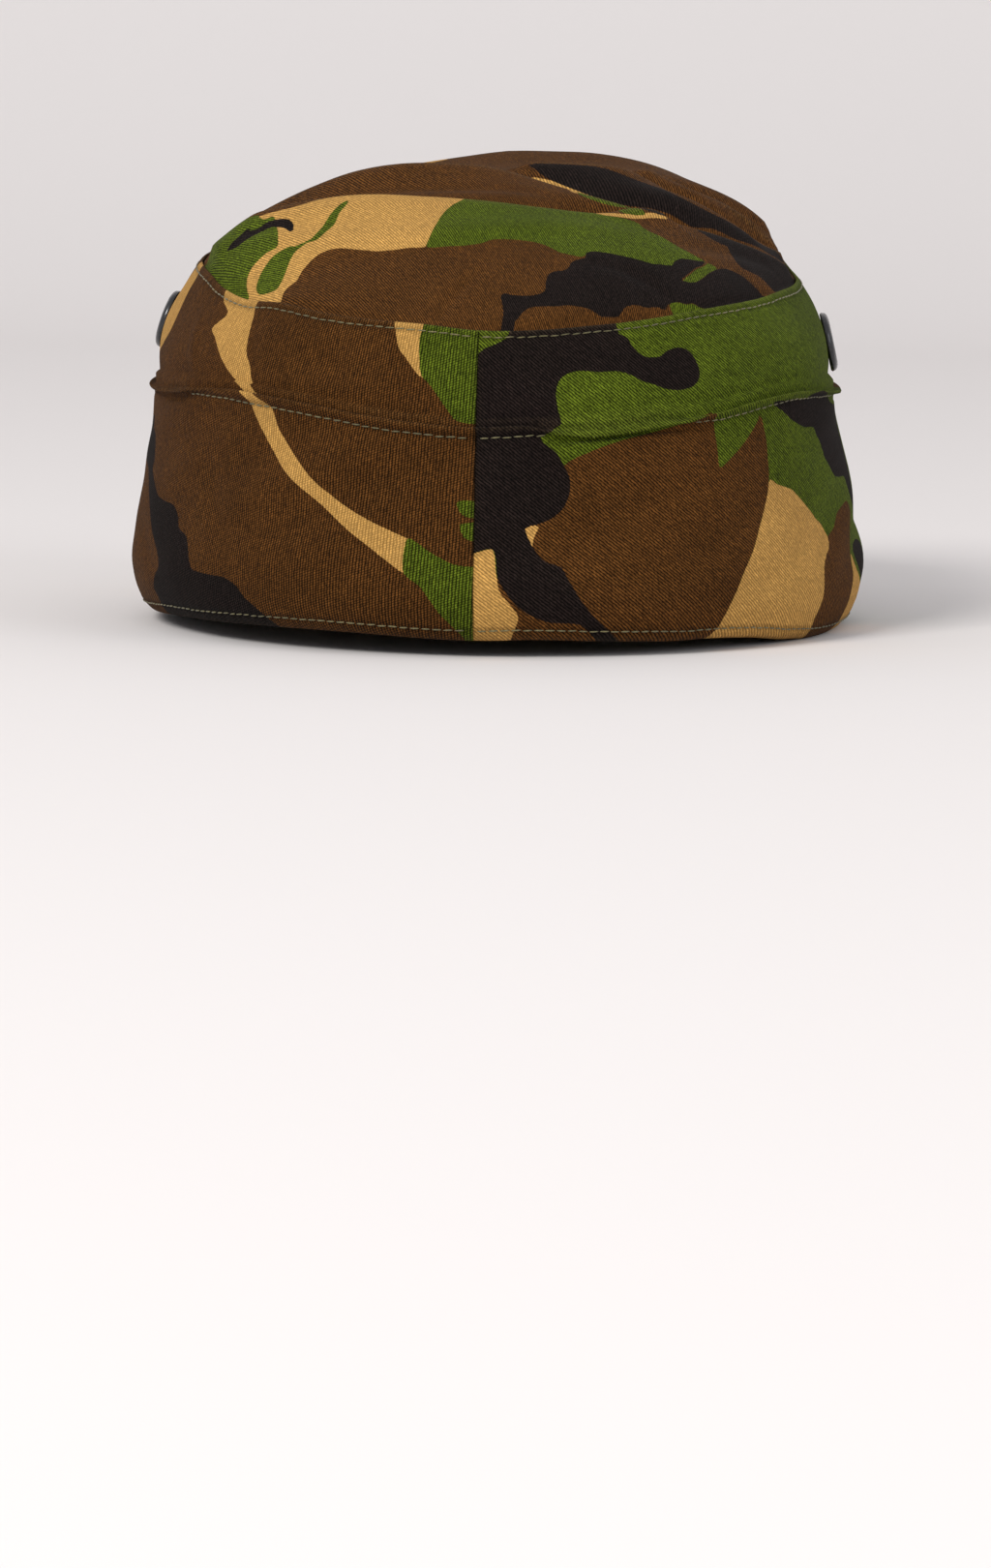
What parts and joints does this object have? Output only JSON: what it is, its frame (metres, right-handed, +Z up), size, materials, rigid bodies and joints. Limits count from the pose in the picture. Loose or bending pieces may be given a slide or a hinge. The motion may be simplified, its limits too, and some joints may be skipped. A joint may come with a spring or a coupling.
{
  "type": "earflap cap",
  "caption": "Soft camouflage twill field cap with a puckered oval crown, tucked side band, stowed ear flap, short peak and side vents.",
  "frame": {"origin": "middle of the cap's bounding box, on the surface that the hem rests on", "axes": "+Z up, -Y the way the peak points, +Y the back of the head, +X the wearer's left"},
  "size_m": [0.1702, 0.2654, 0.1078],
  "materials": {
    "crown_twill": "camouflage printed cotton twill",
    "left_twill": "camouflage printed cotton twill",
    "right_twill": "camouflage printed cotton twill",
    "flap_twill": "plain olive cotton",
    "peak_twill": "camouflage printed cotton twill",
    "vent_left_black": "black enamel",
    "vent_right_black": "black enamel"
  },
  "bodies": {
    "root": {"crown_top": "crown_twill", "side_left": "left_twill", "side_right": "right_twill", "ear_flap": "flap_twill", "peak": "peak_twill", "vent_left": "vent_left_black", "vent_right": "vent_right_black"}
  },
  "joints": []
}
